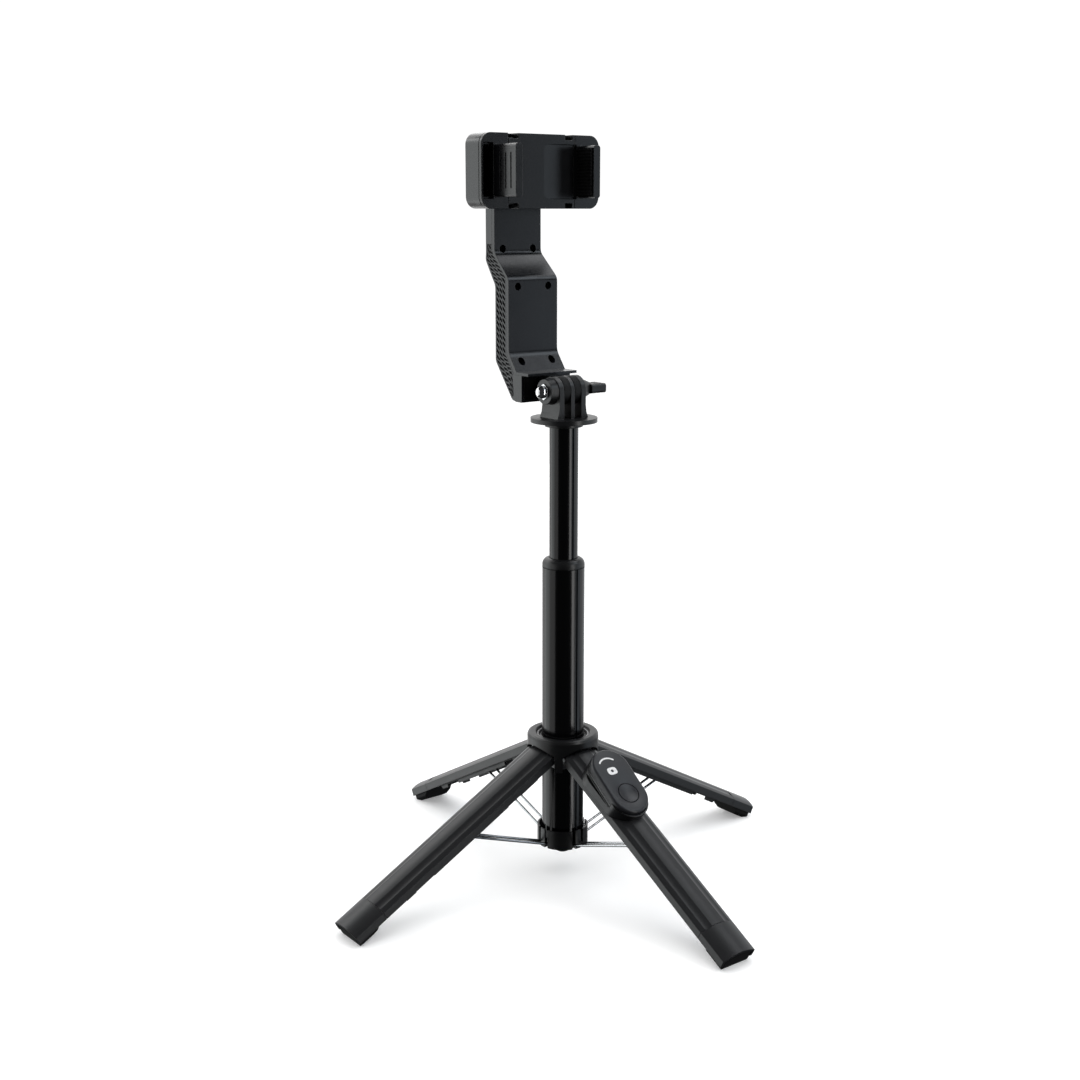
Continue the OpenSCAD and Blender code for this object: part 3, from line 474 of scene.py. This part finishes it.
STEM_R = 1.6 * MM
CAP_T = 2.0 * MM
DISH_RISE, DISH_DEPTH = 0.08 * MM, 0.55 * MM
deep = button_n1 - button_n0
rise = button_n1 - shell_n1
dish_r = BUTTON_R - 0.4 * MM
loops = [disc_loop(STEM_R, rise - deep), disc_loop(STEM_R, rise - CAP_T),
         disc_loop(BUTTON_R, rise - CAP_T), disc_loop(BUTTON_R, rise - 0.45 * MM),
         disc_loop(BUTTON_R - 0.12 * MM, rise - 0.2 * MM), disc_loop(dish_r, rise - DISH_RISE)]
for n in range(1, ARC_STEPS + 1):
    share = 1 - n / (ARC_STEPS + 1)
    loops.append(disc_loop(dish_r * share, rise - DISH_RISE - DISH_DEPTH * (1 - share ** 2)))
bm = bmesh.new()
rings(bm, loops)
button = piece("remote_button_dish", bm, "button_plastic", "button")
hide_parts("remote_button")

ink = Shader("white_print")
ink.colour(ink.noise(900.0, 4.0, 0.6), (0.62, 0.62, 0.62), (0.8, 0.8, 0.8), 0.3, 0.7)
ink.bsdf.inputs["Roughness"].default_value = 0.5
ink.relief([(ink.noise(3000.0), "Fac", 0.2, 0.00001)])

# the print sits a little left of the remote's middle line, and a hair off its face
PRINT_SHIFT = -1.5 * MM
PRINT_LOW, PRINT_HIGH = 0.01 * MM, 0.06 * MM

ARC_CENTRE = shell_s1 - SHELL_R - 0.8 * MM
ARC_R, ARC_HALF = 7.1 * MM, 0.5 * MM
ARC_SPAN = 44  # degrees to each side


def arc_point(turn, radius, tip=None):
    """A place at the turn, or round its end cap towards the angle tip, in degrees."""
    a = math.radians(turn)
    u, v = radius * math.cos(a), radius * math.sin(a)
    if tip is not None:
        u, v = u + ARC_HALF * math.cos(math.radians(tip)), v + ARC_HALF * math.sin(math.radians(tip))
    return u + PRINT_SHIFT, ARC_CENTRE + v


SIDE_STEPS, CAP_STEPS = 24, 6
LEFT_END, RIGHT_END = 90 + ARC_SPAN, 90 - ARC_SPAN
outline = []
for start, end, radius, tip in ((LEFT_END, RIGHT_END, ARC_R + ARC_HALF, RIGHT_END),
                                (RIGHT_END, LEFT_END, ARC_R - ARC_HALF, LEFT_END + 180)):
    outline += [arc_point(start + (end - start) * n / SIDE_STEPS, radius) for n in range(SIDE_STEPS + 1)]
    outline += [arc_point(end, ARC_R, tip - 180 * n / CAP_STEPS) for n in range(1, CAP_STEPS)]
bm = bmesh.new()
prism(bm, outline, on_face, PRINT_LOW, PRINT_HIGH)
piece("remote_print_arc", bm, "remote_shell_plastic", "remote", smooth=False, material=ink.mat)

# the mark: a plain rounded block with a round hole
MARK_S = shell_s1 - 15.0 * MM
MARK_HALF_W, MARK_HALF_H, MARK_SQUARE = 3.2, 2.4, 3.2
MARK_HOLE_R = 0.95 * MM
outer, inner = [], []
for turn in turns(96):
    c, d = math.cos(turn), math.sin(turn)
    level = abs(c / MARK_HALF_W) ** MARK_SQUARE + abs(d / MARK_HALF_H) ** MARK_SQUARE
    reach = MM / level ** (1 / MARK_SQUARE)
    outer.append(on_face(PRINT_SHIFT + reach * c, MARK_S + reach * d, PRINT_HIGH))
    inner.append(on_face(PRINT_SHIFT + MARK_HOLE_R * c, MARK_S + MARK_HOLE_R * d, PRINT_HIGH))
drop = REMOTE_N * (PRINT_HIGH - PRINT_LOW)
bm = bmesh.new()
closed_loop(bm, [[p - drop for p in outer], outer, inner, [p - drop for p in inner]], 1e-8)
piece("remote_print_mark", bm, "remote_shell_plastic", "remote", smooth=False, material=ink.mat)

# ---------------------------------------------------------------- stage, light and camera


FLOOR_R, SURROUND_R = 9.0, 9.5


def stage_object(name, bm, material, unseen_by):
    """A mesh of the studio, hidden from the kinds of ray listed."""
    obj = put(name, mesh_of(name, bm))
    obj.data.materials.append(material)
    for kind in unseen_by:
        setattr(obj, "visible_" + kind, False)


floor_shader = Shader("white_floor")
floor_shader.colour(floor_shader.noise(3.0, 3.0, 0.5), (0.80, 0.80, 0.80), (0.82, 0.82, 0.82), 0.3, 0.7)
floor_shader.bsdf.inputs["Roughness"].default_value = 0.9
floor_shader.bsdf.inputs["Specular IOR Level"].default_value = 0.1
floor_shader.bsdf.inputs["Emission Color"].default_value = (1, 1, 1, 1)
# the floor's own glow grows outwards, where the soft boxes no longer reach it
from_middle = floor_shader.add("ShaderNodeVectorMath", operation="LENGTH")
floor_shader.link(floor_shader.coord, "Object", from_middle, "Vector")
floor_shader.spread(from_middle, "Value", 0.27, 0.45, "Emission Strength", reach=(0.3, 1.6))
bm = bmesh.new()
bmesh.ops.create_circle(bm, cap_ends=True, segments=128, radius=FLOOR_R)
stage_object("floor", bm, floor_shader.mat, ("glossy", "shadow", "diffuse"))

# A white surround that only the camera sees, so that the parts reflect the softer studio light
surround_mat = bpy.data.materials.new("white_surround")
surround_mat.use_nodes = True
surround_tree = surround_mat.node_tree
surround_tree.nodes.clear()
glow = surround_tree.nodes.new("ShaderNodeEmission")
glow.inputs["Strength"].default_value = 1.05
surround_out = surround_tree.nodes.new("ShaderNodeOutputMaterial")
surround_tree.links.new(glow.outputs["Emission"], surround_out.inputs["Surface"])
bm = bmesh.new()
bmesh.ops.create_uvsphere(bm, u_segments=64, v_segments=32, radius=SURROUND_R)
stage_object("surround", bm, surround_mat, ("diffuse", "glossy", "transmission", "shadow", "volume_scatter"))

world = bpy.data.worlds.new("studio")
bpy.context.scene.world = world
world.use_nodes = True
background = world.node_tree.nodes["Background"]
background.inputs["Color"].default_value = (0.93, 0.96, 1.0, 1.0)
background.inputs["Strength"].default_value = 0.03

sun = bpy.data.lights.new("soft_top_light", "SUN")
sun.energy = 2.4
sun.angle = math.radians(75)
sun_obj = put("soft_top_light", sun)
sun_obj.visible_glossy = False
sun_obj.rotation_euler = Vector((0.1, 0.15, -1)).to_track_quat("-Z", "Y").to_euler()

AIM_Z = 0.25  # the soft boxes aim at the middle of the mast


def softbox(name, azimuth, elevation, distance, size, radiance, colour=(1, 1, 1)):
    """A soft box in that direction, in degrees: 0 is in front of the clamp, 90 on the handle's side."""
    a, e = math.radians(azimuth), math.radians(elevation)
    away = Vector((math.sin(a) * math.cos(e), -math.cos(a) * math.cos(e), math.sin(e)))
    light = bpy.data.lights.new(name, "AREA")
    light.shape = "RECTANGLE"
    light.size, light.size_y = size
    light.energy = radiance * math.pi * size[0] * size[1]
    light.color = colour
    obj = put(name, light)
    obj.location = away * distance + Vector((0, 0, AIM_Z))
    obj.rotation_euler = (-away).to_track_quat("-Z", "Y").to_euler()


softbox("left_back_wall", -138, 0, 1.3, (1.0, 2.2), 1.7, colour=(0.96, 1.0, 1.0))
softbox("left_front_wall", -100, 0, 1.5, (0.9, 2.0), 0.9)
softbox("right_front_wall", 50, -6, 1.6, (0.78, 1.4), 0.8, colour=(0.8, 0.9, 1.0))
softbox("right_front_upper", 42, 40, 1.6, (0.9, 0.5), 2.3, colour=(0.84, 0.92, 1.0))
softbox("right_wall", 92, 2, 1.5, (1.7, 1.5), 0.85, colour=(0.95, 0.97, 1.0))
softbox("right_strip", 15, 0, 1.5, (0.34, 2.0), 3.6)
softbox("high_right_panel", 96, 54, 1.5, (1.0, 0.6), 2.1, colour=(0.95, 0.97, 1.0))
softbox("back_wall", -176, 0, 1.5, (1.3, 2.0), 0.8)
softbox("right_back_wall", 142, 0, 1.5, (1.3, 2.0), 1.1)
softbox("high_back_panel", 176, 36, 1.6, (1.7, 0.7), 1.7)

VIEW_AZIMUTH = math.radians(-37.36)
VIEW_PITCH = math.radians(12.42)
CAMERA_AWAY, CAMERA_LEFT, CAMERA_Z = 0.8527, 0.0137, 0.3944
back = Vector((math.sin(VIEW_AZIMUTH), -math.cos(VIEW_AZIMUTH), 0))
right = Vector((math.cos(VIEW_AZIMUTH), math.sin(VIEW_AZIMUTH), 0))
cam = bpy.data.cameras.new("camera")
cam.sensor_width = 36.0
cam.lens = 50.0
cam_obj = put("camera", cam)
cam_obj.location = back * CAMERA_AWAY - right * CAMERA_LEFT + Vector((0, 0, CAMERA_Z))
look = -back * math.cos(VIEW_PITCH) - Vector((0, 0, math.sin(VIEW_PITCH)))
cam_obj.rotation_euler = look.to_track_quat("-Z", "Y").to_euler()
bpy.context.scene.camera = cam_obj

bpy.context.scene.view_settings.view_transform = "Standard"
bpy.context.scene.view_settings.look = "None"
